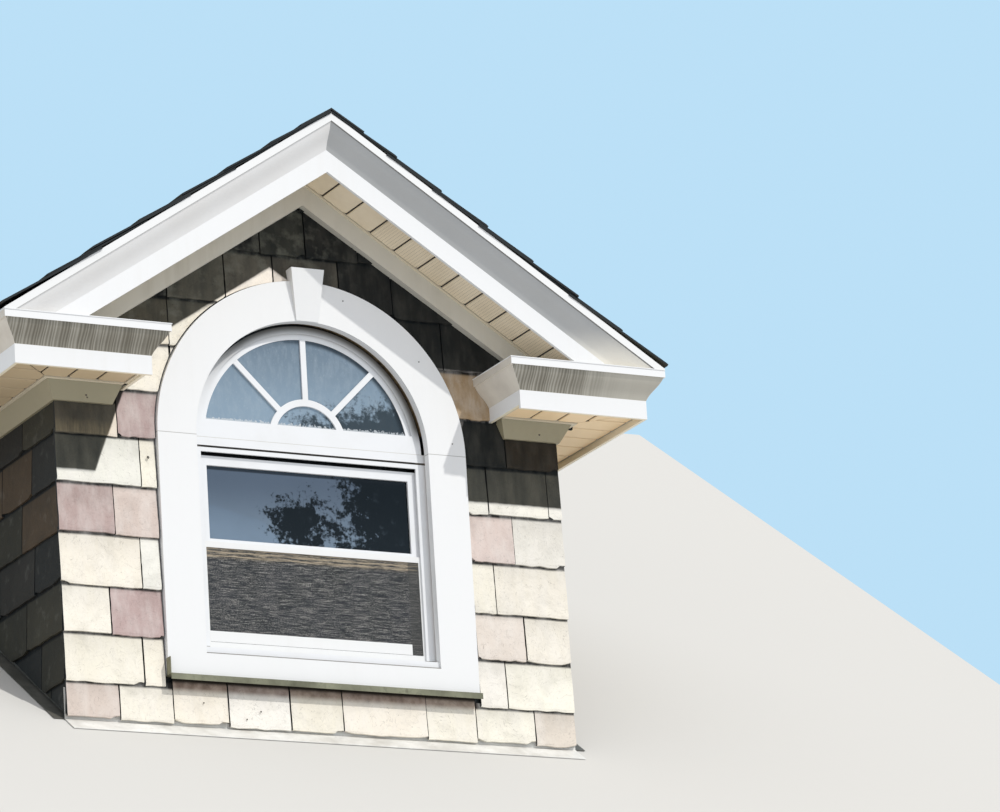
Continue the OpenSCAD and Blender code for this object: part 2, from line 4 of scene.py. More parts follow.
import bmesh
import bpy
from mathutils import Matrix, Vector, noise


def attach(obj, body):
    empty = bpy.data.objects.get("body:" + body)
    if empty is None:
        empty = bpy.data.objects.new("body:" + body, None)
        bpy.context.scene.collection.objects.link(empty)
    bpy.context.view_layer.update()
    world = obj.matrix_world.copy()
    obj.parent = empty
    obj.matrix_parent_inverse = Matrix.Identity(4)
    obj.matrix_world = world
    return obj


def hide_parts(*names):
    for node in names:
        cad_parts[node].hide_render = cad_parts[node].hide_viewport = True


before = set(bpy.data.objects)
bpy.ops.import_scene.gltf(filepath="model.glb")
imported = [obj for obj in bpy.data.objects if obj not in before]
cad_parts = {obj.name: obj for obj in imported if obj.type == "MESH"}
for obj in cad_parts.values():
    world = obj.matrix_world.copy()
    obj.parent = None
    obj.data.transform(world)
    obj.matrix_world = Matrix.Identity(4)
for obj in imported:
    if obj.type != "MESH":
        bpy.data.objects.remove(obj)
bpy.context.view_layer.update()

# Sizes that the dormer's pieces share, in metres

HALF_W = 0.84
EXPOSURE = 0.152
SLATE_STEP = 0.0081
SLATE_LEAN = math.asin(SLATE_STEP / EXPOSURE)
SLATE_THICK = (0.0072, 0.0088)
LAP = 0.012
FOOT = 0.018
MAIN_PITCH = math.radians(33.7)
ROOF_PITCH = math.radians(33.2)
RISE = math.tan(ROOF_PITCH)
RIDGE_Z = 1.8809
RAKE_Y = -0.201
EAVE_X = 1.047
RETURN_X = 0.61
SOFFIT_Z = 1.033
FRIEZE_Z = 0.977
CAP_TOP = 1.1615
SOFFIT_N = 0.126
FRIEZE_N = 0.186
FASCIA_T = 0.011
FRIEZE_OUT = 0.02
BED_OUT = 0.035
PANEL = 0.093
PANEL_BACK = 0.0034
BACKING_T = 0.002
CHANNEL_T = 0.006
CHANNEL_DROP = 0.003
SPRING_Z = 0.905
CASING_R = 0.513
SILL_Z = 0.157
SCREEN_SIZE = (0.704, 0.291)

ORIGIN = Vector((0.0, 0.0, 0.0))
ACROSS = Vector((1.0, 0.0, 0.0))
DEEP = Vector((0.0, 1.0, 0.0))
UP = Vector((0.0, 0.0, 1.0))
MAIN_DOWN = Vector((0.0, math.sin(MAIN_PITCH), -math.cos(MAIN_PITCH)))
MAIN_ROOF = (ORIGIN, MAIN_DOWN)
UNDER_BED = (UP * (FRIEZE_Z + 0.006), UP)


def roof_z(x, n):
    """Height of the line that lies n below the roof boards' top, square to the slope."""
    return RIDGE_Z - RISE * abs(x) - n / math.cos(ROOF_PITCH)


def slope(side):
    """The ways down and out of the dormer's own roof on one side."""
    return (Vector((side * math.cos(ROOF_PITCH), 0.0, -math.sin(ROOF_PITCH))),
            Vector((side * math.sin(ROOF_PITCH), 0.0, math.cos(ROOF_PITCH))))


# Node helpers

class Signal:
    """What a node puts out. A sum or a comparison with it adds a math node to its tree."""

    def __init__(self, socket):
        self.socket = socket
        self.tree = socket.id_data

    def __add__(self, other):
        return calc("ADD", self, other)

    def __sub__(self, other):
        return calc("SUBTRACT", self, other)

    def __rsub__(self, other):
        return calc("SUBTRACT", other, self)

    def __mul__(self, other):
        return calc("MULTIPLY", self, other)

    def __lt__(self, other):
        return calc("LESS_THAN", self, other)

    def __gt__(self, other):
        return calc("GREATER_THAN", self, other)

    def __abs__(self):
        return calc("ABSOLUTE", self)


def feed(socket, value):
    """Sets a socket to a plain value, or links what another node puts out."""
    if isinstance(value, Signal):
        value.tree.links.new(value.socket, socket)
    else:
        socket.default_value = value


def add(tree, kind, settings=None, **inputs):
    """Adds a node; each input is a plain value or a signal."""
    made = tree.nodes.new(kind)
    for key, value in (settings or {}).items():
        setattr(made, key, value)
    for key, value in inputs.items():
        feed(made.inputs[key.replace("_", " ")], value)
    return made


def got(node, output=0):
    return Signal(node.outputs[output])


def combine(kind, settings, terms, places, output=0):
    """Adds a node to the terms' own tree, with the terms at these places of its inputs."""
    tree = next(term.tree for term in terms if isinstance(term, Signal))
    made = add(tree, kind, settings)
    for place, term in zip(places, terms):
        feed(made.inputs[place], term)
    return got(made, output)


def calc(operation, *terms):
    """Does one sum."""
    return combine("ShaderNodeMath", {"operation": operation}, terms, range(3))


def mix(amount, first, second, mode="MIX"):
    """Blends two colours."""
    return combine("ShaderNodeMix", {"data_type": "RGBA", "blend_type": mode},
                   (amount, first, second), (0, 6, 7), 2)


def least(first, *others):
    for other in others:
        first = calc("MINIMUM", first, other)
    return first


def most(first, *others):
    for other in others:
        first = calc("MAXIMUM", first, other)
    return first


def ramp(value, low, high, kind="LINEAR"):
    """0 at low and 1 at high, straight between."""
    return got(add(value.tree, "ShaderNodeMapRange", {"interpolation_type": kind}, Value=value,
                   From_Min=low, From_Max=high))


def step(value, low, high):
    """0 at low and 1 at high, smooth between."""
    return ramp(value, low, high, "SMOOTHSTEP")


def line_mask(value, centre, half_width):
    """1 on a thin line where value is at the centre."""
    return abs(value - centre) < half_width


def cloud(where, scale, **more):
    """Plain noise over a surface."""
    return got(add(where.tree, "ShaderNodeTexNoise", Vector=where, Scale=scale, **more))


def squeezed(where, x, y, z):
    """The place on the object, squeezed along each axis."""
    return got(add(where.tree, "ShaderNodeMapping", Vector=where, Scale=(x, y, z)))


def position(where):
    """Splits a place into X, Y and Z."""
    return [Signal(socket) for socket in add(where.tree, "ShaderNodeSeparateXYZ", Vector=where).outputs]


def from_spring(x, z):
    """Distance from the centre of the window's arch."""
    rise = z - SPRING_Z
    return calc("SQRT", x * x + rise * rise)


def end_with_mix(tree, end, amount, first, second):
    """Ends a tree with a mix of two shaders."""
    pick = add(tree, "ShaderNodeMixShader")
    for socket, value in zip(pick.inputs, (amount, got(first), got(second))):
        feed(socket, value)
    feed(add(tree, end).inputs["Surface"], got(pick))


# Shared groups

def new_group(name, results, **numbers):
    """A group that takes a Vector and named numbers; returns its tree, inputs and results."""
    tree = bpy.data.node_groups.new(name, "ShaderNodeTree")
    tree.interface.new_socket(name="Vector", in_out="INPUT", socket_type="NodeSocketVector")
    for label, value in numbers.items():
        socket = tree.interface.new_socket(name=label, in_out="INPUT", socket_type="NodeSocketFloat")
        socket.default_value = value
    for label in results:
        tree.interface.new_socket(name=label, in_out="OUTPUT", socket_type="NodeSocketFloat")
    start = tree.nodes.new("NodeGroupInput")
    taken = [got(start, label) for label in ("Vector", *numbers)]
    return tree, taken, tree.nodes.new("NodeGroupOutput").inputs


def make_blotch():
    """Cloudy patches: 0 in the clean parts, 1 in the patches."""
    tree, (where, scale, low, high), results = new_group("blotch", ["Mask"], Scale=4.0, Low=0.4, High=0.7)
    feed(results["Mask"], ramp(cloud(where, scale, Detail=6.0, Roughness=0.6), low, high))
    return tree


def make_runs():
    """Streaks that run down a face: fine across, long down."""
    tree, (where, across, down, low, high), results = new_group(
        "runs", ["Mask"], Across=60.0, Down=2.0, Low=0.4, High=0.65)
    squeeze = got(add(tree, "ShaderNodeCombineXYZ", X=across, Y=across, Z=down))
    stretched = combine("ShaderNodeVectorMath", {"operation": "MULTIPLY"}, (where, squeeze), (0, 1))
    feed(results["Mask"], ramp(cloud(stretched, 1.0, Detail=4.0, Roughness=0.6), low, high))
    return tree


def make_riven():
    """The split surface of slate: a height and a mask of its hollows."""
    tree, (where, scale), results = new_group("riven", ["Height", "Hollows"], Scale=9.0)
    broad = cloud(where, scale, Detail=8.0, Roughness=0.62, Distortion=0.6)
    height = cloud(where, 140.0, Detail=3.0) * 0.18 + broad
    feed(results["Height"], height)
    feed(results["Hollows"], ramp(height, 0.62, 0.42))
    return tree


def make_leafy():
    """Ragged clumps of leaves: 1 inside, where Body is well over 0."""
    tree, (where, body, soft), results = new_group("leafy", ["Mask"], Body=0.0, Soft=0.15)
    clumps = cloud(where, 26.0, Detail=3.0, Roughness=0.6)
    leaves = cloud(where, 85.0, Detail=3.0, Roughness=0.7)
    middle = 1.38
    feed(results["Mask"], step(body + (clumps * 1.5 + leaves * 1.1), middle - soft, soft + middle))
    return tree


blotch = make_blotch()
runs = make_runs()
riven = make_riven()
leafy = make_leafy()


def use(group, where, **numbers):
    """Places a shared group in a material and returns its results."""
    made = add(where.tree, "ShaderNodeGroup", {"node_tree": group}, Vector=where, **numbers)
    return [Signal(socket) for socket in made.outputs]


def patches(where, scale, low, high):
    return use(blotch, where, Scale=scale, Low=low, High=high)[0]


def streaks(where, across, down, low, high):
    return use(runs, where, Across=across, Down=down, Low=low, High=high)[0]


def foliage(where, body, soft):
    return use(leafy, where, Body=body, Soft=soft)[0]


# Camera, light and floor

def place_camera():
    """The picture's view: a long lens, from far off and low on the left."""
    yaw = 0.493
    pitch = 0.291
    roll = -0.063
    ahead = Vector((math.sin(yaw) * math.cos(pitch), math.cos(yaw) * math.cos(pitch), math.sin(pitch)))
    level = Vector((math.cos(yaw), -math.sin(yaw), 0.0))
    above = level.cross(ahead)
    right = level * math.cos(roll) + above * math.sin(roll)
    up = above * math.cos(roll) - level * math.sin(roll)
    data = bpy.data.cameras.new("camera")
    data.sensor_width = 36.0
    data.lens = 222.03
    data.clip_end = 200.0
    camera = bpy.data.objects.new("camera", data)
    turn = Matrix((right, up, -ahead)).transposed().to_4x4()
    stand = (-7.9092, -15.9265, -4.3333)
    camera.matrix_world = Matrix.Translation(stand) @ turn
    bpy.context.collection.objects.link(camera)
    bpy.context.scene.camera = camera


def place_lights():
    """A sun from the front right, an even fill, and a plain sky that only shows."""
    data = bpy.data.lights.new("sun", "SUN")
    data.energy = 2.07
    data.angle = math.radians(1.0)
    data.color = (1.0, 0.98, 0.945)
    sun = bpy.data.objects.new("sun", data)
    sun.rotation_mode = "QUATERNION"
    sun.rotation_quaternion = Vector((0.3185, -0.601, 0.733)).to_track_quat("Z", "Y")
    bpy.context.collection.objects.link(sun)

    world = bpy.data.worlds.new("sky")
    world.use_nodes = True
    bpy.context.scene.world = world
    tree = world.node_tree
    tree.nodes.clear()
    fill = add(tree, "ShaderNodeBackground", Color=(0.93, 0.95, 1.0, 1.0), Strength=0.83)
    shown = add(tree, "ShaderNodeBackground", Color=(0.50, 0.745, 0.93, 1.0), Strength=1.0)
    path = add(tree, "ShaderNodeLightPath")
    seen = most(got(path, "Is Camera Ray"), got(path, "Is Glossy Ray"), got(path, "Is Transmission Ray"))
    end_with_mix(tree, "ShaderNodeOutputWorld", seen, fill, shown)


def place_floor():
    """A plain sheet at the pitch of the dormer's seat, seen only from above, open inside the walls."""
    width = 5.8
    length = 6.2
    centre = (0.0, 0.65, -0.002)
    work = bmesh.new()
    bmesh.ops.create_grid(work, x_segments=1, y_segments=1, size=0.5)
    bmesh.ops.scale(work, vec=(width, length, 1.0), verts=work.verts)
    bmesh.ops.translate(work, vec=centre, verts=work.verts)
    turn = Matrix.Rotation(MAIN_PITCH, 3, "X")
    bmesh.ops.rotate(work, cent=ORIGIN, matrix=turn, verts=work.verts)
    mat = bpy.data.materials.new("floor")
    mat.use_nodes = True
    tree = mat.node_tree
    tree.nodes.clear()
    face = add(tree, "ShaderNodeBsdfDiffuse", Color=(0.6, 0.59, 0.56, 1.0))
    clear = add(tree, "ShaderNodeBsdfTransparent")
    x, y, z = position(got(add(tree, "ShaderNodeTexCoord"), "Object"))
    inner_x = 0.80
    inner_y = 0.16
    inner_top = 1.70
    middle = abs(x)
    within_walls = least(inner_x - middle, y - inner_y)
    under_roof = middle * -RISE + inner_top - z
    inside = least(within_walls, under_roof) > 0.0
    back = got(add(tree, "ShaderNodeNewGeometry"), "Backfacing")
    end_with_mix(tree, "ShaderNodeOutputMaterial", most(back, inside), face, clear)
    floor = finish_mesh("floor", work, mat)


# Finishes

def rgb(r, g, b):
    """A colour given as it looks on a screen, 0 to 255."""
    def flat(v):
        v = v / 255.0
        return v / 12.92 if v <= 0.04045 else ((v + 0.055) / 1.055) ** 2.4
    return (flat(r), flat(g), flat(b), 1.0)


def new_material(name, rough, metallic=0.0, specular=0.5):
    """A material, its shader and the place on the object."""
    mat = bpy.data.materials.new(name)
    mat.use_nodes = True
    shader = mat.node_tree.nodes["Principled BSDF"]
    shader.inputs["Roughness"].default_value = rough
    shader.inputs["Metallic"].default_value = metallic
    shader.inputs["Specular IOR Level"].default_value = specular
    return mat, shader, got(add(mat.node_tree, "ShaderNodeTexCoord"), "Object")


def new_glass(name):
    """Glass that clears in part; what it mirrors is its colour."""
    mat, shader, where = new_material(name, 0.03, specular=0.1)
    shader.inputs["Transmission Weight"].default_value = 0.3
    shader.inputs["IOR"].default_value = 1.45
    return mat, shader, where


def dress(shader, colour, height=None, strength=0.0, distance=0.0):
    """Gives a shader its colour and its bump."""
    feed(shader.inputs["Base Color"], colour)
    if height:
        made = add(height.tree, "ShaderNodeBump", Height=height, Strength=strength, Distance=distance)
        feed(shader.inputs["Normal"], got(made))


def paint(name, clean, soiled, soil=0.35, inside=None, joint=None):
    """Painted boards, faintly soiled and streaked.

    The tone inside is painted light on the fascias' inner faces under the soffits, and the tone joint
    is for the hairlines in the window's casing.
    """
    mat, shader, where = new_material(name, 0.45)
    amount = patches(where, 3.0, 0.42, 0.75) * streaks(where, 35.0, 1.6, 0.45, 0.75) * soil
    colour = mix(amount, clean, soiled)
    x, y, z = position(where)
    middle = abs(x)
    # Painted light: the fascias' inner faces under the soffits get the warm inside tone, standing for
    # light bounced up onto them.
    if inside:
        behind = (z < SOFFIT_Z + 0.0005) * (middle < EAVE_X - 0.0004)
        behind = behind * (y > RAKE_Y + 0.0004) * (middle > RETURN_X + 0.0004)
        colour = mix(behind, colour, inside)
    if joint:
        colour = mix(line_mask(z, SPRING_Z, 0.0011), colour, joint)
        under_frame = line_mask(z, 0.2338, 0.0016) * (middle < 0.387)
        colour = mix(under_frame, colour, rgb(140, 136, 130))
    dress(shader, colour, cloud(where, 55.0, Detail=4.0), 0.25, 0.0006)
    return mat


def sash_paint(name, clean):
    """White frame paint with painted shade in the gaps under the head, over the sash and round the
    fanlight.
    """
    mat, shader, where = new_material(name, 0.35)
    x, y, z = position(where)
    colour = mix(patches(where, 8.0, 0.45, 0.8) * 0.25, clean, rgb(205, 202, 194))
    under_fanlight = (0.911, 0.0010, rgb(206, 204, 198))
    # Painted shade: a dark line in the groove under the head.
    over_head = (0.882, 0.0032, rgb(66, 56, 44))
    on_sill = (0.263, 0.0014, rgb(170, 167, 162))
    for height, half_width, tone in (under_fanlight, over_head, on_sill):
        colour = mix(line_mask(z, height, half_width), colour, tone)
    # Painted shade: black in the gap over the upper sash.
    over_sash = step(z, 0.8618, 0.8624) * (y > 0.0345) * (z < 0.8842)
    colour = mix(over_sash, colour, rgb(16, 14, 12))
    # Painted shade: the top of the fanlight's ring darkens towards the casing.
    radius = from_spring(x, z)
    dusk = step(radius, 0.344, 0.379) * step(z, 0.93, 1.0) * step(x, -0.37, -0.2)
    colour = mix(dusk * 0.95, colour, rgb(66, 58, 46))
    # Painted shade: black in the groove round the fanlight.
    round_fan = (radius > 0.3803) * (z > 0.9112)
    dress(shader, mix(round_fan, colour, rgb(14, 12, 11)))
    return mat


def crown_paint(name, clean, dark, light, plain):
    """The level crown: a white fillet, finely streaked by rain along the front, plain at the ends."""
    mat, shader, where = new_material(name, 0.55)
    x, y, z = position(where)
    middle = abs(x)
    out = RAKE_Y - y
    front = (middle > RETURN_X + 0.0008 - out) * (middle < out + (EAVE_X - 0.0008)) * (out > 0.0002)
    drift = cloud(squeezed(where, 40.0, 3.0, 2.0), 1.0, Detail=2.0)
    calm = step(x, 1.0, 0.7) * 0.13 + 0.03
    comb = calc("SINE", x * 640.0 + drift * 16.0) * calm
    broad = patches(where, 6.0, 0.3, 0.7)
    level = comb + (drift * 0.9 - 0.1) - broad * 0.12 + step(x, 0.75, 1.0) * 0.35
    rained = mix(step(level, 0.0, 0.85), dark, light)
    rained = mix(step(x, 0.76, 0.97) * 0.85, rained, light)
    soft = mix(broad, plain, rgb(196, 188, 176))
    fillet = step(z, 1.1362, 1.1372) * (out > 0.0455)
    colour = mix(fillet, mix(front, soft, rained), clean)
    dress(shader, colour, comb, 0.5, 0.0006)
    return mat


def rake_paint(name, clean, light, grey):
    """The sloping crown: a white fillet over a hollow, with painted shade on the right-hand slope's
    hollow.
    """
    mat, shader, where = new_material(name, 0.5)
    x, _, z = position(where)
    on_right = x > 0.0
    drop = RIDGE_Z - z - abs(x) * RISE
    soiled = patches(where, 3.5, 0.35, 0.8)
    left = mix(soiled * 0.5, light, rgb(214, 209, 202))
    # Painted shade: the right-hand slope's hollow is darker, blotched, and paler low down.
    low = mix(step(z, 1.17, 1.29), rgb(250, 244, 230), grey)
    right = mix(soiled * 0.3, low, rgb(150, 150, 148))
    edge = 0.0222 / math.cos(ROOF_PITCH)
    colour = mix(step(drop, edge, edge + 0.001), clean, mix(on_right, left, right))
    # Painted shadow: a thin line under the fillet, darker on the right-hand slope.
    shadow = mix(on_right, rgb(214, 212, 208), rgb(140, 138, 134))
    dress(shader, mix(line_mask(drop, edge + 0.0008, 0.0012), colour, shadow))
    return mat


def eave_shadow_mask(where):
    """1 where the wall slates get painted shadow under the rakes and the returns, along the sun's shadow
    edges.
    """
    left_rake_z = 1.527
    right_rake_z = 1.385
    return_z = 0.766
    x, _, z = position(where)
    # Painted shadow: each edge follows the line that the sun's cast shadow takes on the wall slates.
    left_rake = z - (x * RISE + left_rake_z)
    right_rake = z - (x * -RISE + right_rake_z)
    lean = (z - 0.852) * 0.40
    left_box = least(z - return_z, lean - 0.678 - x)
    right_box = least(z - return_z, x - lean - 0.45)
    round_tan_slate = most(abs(x - 0.508) - 0.108, abs(z - 1.105) - 0.0755)
    painted_eave_shade = least(most(left_rake, right_rake, left_box, right_box), round_tan_slate)
    ragged = cloud(where, 30.0, Detail=2.0) * 0.004 - 0.002
    return step(painted_eave_shade + ragged, 0.0, 0.007)


def weather(where, colour):
    """The front's slates: milky streaks, painted shade under the sill drip and painted shadow under the
    eaves.
    """
    x, _, z = position(where)
    colour = mix(streaks(where, 26.0, 9.0, 0.42, 0.72) * 0.3, colour, rgb(238, 234, 228))
    # Painted shadow under the rakes and returns: near black and streaked, with pale frost patches and a
    # paler streaked foot on the slate under the left bed board.
    shade_streaks = streaks(where, 22.0, 5.0, 0.35, 0.75)
    painted_eave_shade = mix(shade_streaks, (0.07, 0.07, 0.062, 1.0), (0.145, 0.141, 0.122, 1.0))
    painted_eave_shade = mix(1.0, colour, painted_eave_shade, "MULTIPLY")
    frost = step(z, 1.10, 1.25) * step(x, 0.25, 0.0) * patches(where, 17.0, 0.50, 0.72)
    painted_eave_shade = mix(frost * 0.45, painted_eave_shade, rgb(130, 130, 118))
    foot = step(z, 0.935, 0.892) * step(z, 0.880, 0.884) * step(x, -0.6, -0.64)
    foot = foot * streaks(where, 60.0, 9.0, 0.30, 0.62)
    painted_eave_shade = mix(foot * 0.65, painted_eave_shade, rgb(136, 124, 98))
    # Painted shade under the sill drip: the slates below it are darker, near black just under its edge.
    drip_shade = mix(patches(where, 26.0, 0.38, 0.66), rgb(204, 190, 186), rgb(156, 140, 134))
    drip_shade = mix(step(z, 0.137, 0.147), drip_shade, rgb(56, 49, 44))
    below_drip = step(z, 0.108, 0.128) * step(abs(x), 0.514, 0.506) * (z < 0.17)
    colour = mix(below_drip, colour, mix(1.0, colour, drip_shade, "MULTIPLY"))
    return mix(eave_shadow_mask(where), colour, painted_eave_shade)


def slate_finish(name, stain_share, front=False):
    """Riven slate: each slate's own tone, with stains, cleft lines and a split surface."""
    mat, shader, where = new_material(name, 0.8, specular=0.3)
    tone = got(add(where.tree, "ShaderNodeAttribute", {"attribute_name": "tone"}))
    height, hollows = use(riven, where, Scale=10.0)
    # Painted shade: the hollows of the split surface are darkened.
    colour = mix(hollows * (0.14 if front else 0.30), tone, (0.02, 0.02, 0.018, 1.0))
    stain = mix(1.0, tone, (0.30, 0.22, 0.13, 1.0), "MULTIPLY")
    colour = mix(patches(where, 7.0, 0.35, 0.75) * stain_share, colour, stain)
    specks = patches(where, 90.0, 0.55, 0.75) * (0.2 if front else 0.35)
    colour = mix(specks, colour, mix(0.6, tone, (0.02, 0.02, 0.02, 1.0)))
    vein = line_mask(cloud(where, 16.0, Detail=4.0, Distortion=2.5), 0.5, 0.0035)
    colour = mix(vein * 0.35, colour, (0.05, 0.04, 0.03, 1.0))
    pale = mix(1.0, colour, (0.10, 0.10, 0.09, 1.0), "ADD")
    colour = mix(patches(where, 22.0, 0.58, 0.72) * 0.3, colour, pale)
    if front:
        colour = weather(where, colour)
    dress(shader, colour, height, 0.8, 0.004)
    return mat


def grained(name, light, dark, felt=False):
    """Sawn wood or split slate, its grain drawn out from front to back; felt covers the walls' outside."""
    mat, shader, where = new_material(name, 0.75)
    grain = cloud(squeezed(where, 14.0, 1.4, 14.0), 3.0, Detail=6.0, Distortion=1.2)
    colour = mix(ramp(grain, 0.35, 0.65), light, dark)
    if felt:
        x, y, _ = position(where)
        outside = most(y < 0.0185, abs(x) > 0.8215)
        colour = mix(outside, colour, rgb(20, 18, 16))
    dress(shader, colour, grain, 0.3, 0.0015)
    return mat


def sheet_metal(name, bright, dull, rough, metallic):
    """Weathered sheet: dull patches, faint dents."""
    mat, shader, where = new_material(name, rough, metallic)
    worn = most(patches(where, 9.0, 0.35, 0.7), patches(where, 60.0, 0.5, 0.8))
    dress(shader, mix(worn, bright, dull), cloud(where, 7.0, Detail=3.0), 0.4, 0.003)
    return mat


def soffit_enamel(name, vented):
    """Tan enamelled panels; the vented ones are pierced by rows of small holes."""
    mat, shader, where = new_material(name, 0.5)
    x, y, z = position(where)
    colour = mix(patches(where, 6.0, 0.35, 0.75) * 0.5, rgb(244, 229, 202), rgb(204, 184, 150))
    # Painted shade and light: under the returns and eaves the left side's panels are darker and the right
    # side's lighter.
    level = z < SOFFIT_Z + 0.01
    colour = mix(level * (x < 0.0), colour, rgb(206, 184, 150))
    colour = mix(level * (x > 0.0), colour, rgb(255, 226, 182))
    if vented:
        holes_per_metre = 105.0
        down = abs(x) * math.cos(ROOF_PITCH) - z * math.sin(ROOF_PITCH)
        across = calc("FRACT", down * holes_per_metre) - 0.5
        along = calc("FRACT", y * holes_per_metre) - 0.5
        hole = across * across + along * along < 0.045
        colour = mix(hole * 0.4, colour, rgb(110, 92, 66))
    dress(shader, colour)
    return mat


def fan_glass(name, tint, deep):
    """The fanlight's dusty glass with a painted reflection: pale sky low on the left, dark leaves low on
    the right.
    """
    mat, shader, where = new_glass(name)
    x, _, z = position(where)
    # Painted reflection of the sky, darker towards the top, with dusty streaks and smears over it.
    mirrored_sky_and_dust = mix(step(z, 0.98, 1.26) * 0.5, tint, rgb(88, 100, 112))
    mirrored_sky_and_dust = mix(streaks(where, 70.0, 26.0, 0.45, 0.72) * 0.25, mirrored_sky_and_dust, rgb(190, 204, 214))
    mirrored_sky_and_dust = mix(patches(where, 170.0, 0.60, 0.70) * 0.30, mirrored_sky_and_dust, rgb(214, 222, 228))
    low_right = least(x * 1.6 + 7.06 - z * 7.0, x * 4.0 + 0.1)
    # Painted reflection of dark leaves low on the right.
    colour = mix(foliage(where, low_right, 0.24) * 0.85, mirrored_sky_and_dust, deep)
    # Painted shade along the top of the glass, under the arch.
    shade = step(from_spring(x, z), 0.318, 0.336) * step(x, -0.2, 0.1)
    colour = mix(shade * 0.75, colour, rgb(34, 38, 44))
    crust = cloud(where, 160.0, Detail=2.0) * 0.028 + (0.9630 - z)
    dress(shader, mix(step(crust, 0.0, 0.002) * 0.8, colour, rgb(222, 228, 232)))
    return mat


def sash_glass(name, tint, pale, deep):
    """A sash's glass with a painted reflection: pale sky on the left, a round leafy patch in the middle,
    dark on the right.
    """
    mat, shader, where = new_glass(name)
    x, _, z = position(where)
    # Painted reflection of the sky, paler low down.
    clear = mix(step(z, 0.80, 0.61), tint, pale)
    clear = mix(patches(where, 5.0, 0.3, 0.75) * 0.2, clear, rgb(84, 98, 112))
    far_x = (x + 0.02) * 6.0
    far_z = (z - 0.675) * 8.6
    patch = (far_x * far_x + far_z * far_z) * -0.75 + 0.42
    leaves = foliage(where, most(x * 3.2 - 0.28, patch), 0.15)
    dim = mix(patches(where, 30.0, 0.60, 0.72) * 0.35, deep, rgb(70, 80, 88))
    colour = mix(leaves * 0.95, clear, dim)
    # Painted shade: a dark line along the top of the upper pane, under its rail.
    dress(shader, mix(step(z, 0.8155, 0.8195) * 0.7, colour, rgb(38, 42, 48)))
    return mat


def screen_weave(name):
    """Charcoal insect cloth: rows of fine wires with painted highlights, paler where a rail in painted
    shade shows through.
    """
    mat, shader, where = new_material(name, 0.7)
    x, _, z = position(where)
    rows = cloud(squeezed(where, 16.0, 1.0, 330.0), 1.0, Detail=4.0, Roughness=0.8)
    # Painted highlight: rows of strands painted pale where they catch the sun.
    wires = step(cloud(where, 420.0, Detail=1.0) * 0.6 + rows, 0.76, 1.04)
    dark = mix(patches(where, 9.0, 0.3, 0.7), rgb(8, 8, 7), rgb(30, 30, 36))
    colour = mix(wires, dark, rgb(150, 146, 140))
    bands = calc("SINE", z * 520.0) * 0.06 + rows
    # Painted shade: the rail behind, seen through the cloth, is painted as in the upper sash's shade.
    rail = step(z, 0.534, 0.547) * step(bands, 0.40, 0.60)
    colour = mix(rail * 0.75, colour, rgb(172, 156, 130))
    # Painted shadow: a dark strip at the right, the stile behind in the jamb's shadow.
    colour = mix(step(x, 0.3165, 0.3175) * 0.6, colour, rgb(56, 54, 50))
    dress(shader, colour, rows, 0.3, 0.001)
    return mat


def assign(mat, *names):
    for name in names:
        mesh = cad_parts[name].data
        mesh.materials.clear()
        mesh.materials.append(mat)


# Mesh helpers

def finish_mesh(name, work, *mats):
    """Turns the working mesh into an object at the origin."""
    mesh = bpy.data.meshes.new(name)
    work.to_mesh(mesh)
    work.free()
    made = bpy.data.objects.new(name, mesh)
    for mat in mats:
        mesh.materials.append(mat)
    bpy.context.collection.objects.link(made)
    return made


def join(target, part):
    """Adds a finished part to a larger working mesh."""
    bmesh.ops.recalc_face_normals(part, faces=part.faces)
    mesh = bpy.data.meshes.new("part")
    part.to_mesh(mesh)
    part.free()
    target.from_mesh(mesh)
    bpy.data.meshes.remove(mesh)


def cut_back(part, planes, close=False):
    """Cuts away what lies beyond each plane; close fills the open cuts."""
    for point, away in planes:
        cut = bmesh.ops.bisect_plane(part, geom=part.verts[:] + part.edges[:] + part.faces[:],
                                     plane_co=point, plane_no=away, clear_outer=True)
        if close:
            rim = [item for item in cut["geom_cut"] if isinstance(item, bmesh.types.BMEdge)]
            bmesh.ops.holes_fill(part, edges=rim)


def thicken(part, shift):
    """Draws a sheet out by shift into a closed body."""
    made = bmesh.ops.extrude_face_region(part, geom=part.faces[:])
    far = [item for item in made["geom"] if isinstance(item, bmesh.types.BMVert)]
    bmesh.ops.translate(part, vec=shift, verts=far)


def axes(origin, across, up):
    """A frame whose X runs across a slate, Y up it and Z out of its face."""
    out = across.cross(up)
    return Matrix.Translation(origin) @ Matrix((across, up, out)).transposed().to_4x4()


# Slates

def clear_of_casing(spot):
    """Moves a point that lies behind the arched casing out to just beside it; None if it is beside."""
    reach = CASING_R + 0.004
    above_sill = 0.17
    if above_sill < spot.z < SPRING_Z and abs(spot.x) < reach:
        return Vector((math.copysign(reach, spot.x), spot.y, spot.z))
    if spot.z >= SPRING_Z:
        arm = Vector((spot.x, 0.0, spot.z - SPRING_Z))
        if 0.0 < arm.length < reach:
            arm.normalize()
            return Vector((0.0, spot.y, SPRING_Z)) + arm * reach
    return None


def toned_mesh():
    """A working mesh whose points carry their slate's tone."""
    work = bmesh.new()
    work.verts.layers.float_color.new("tone")
    return work


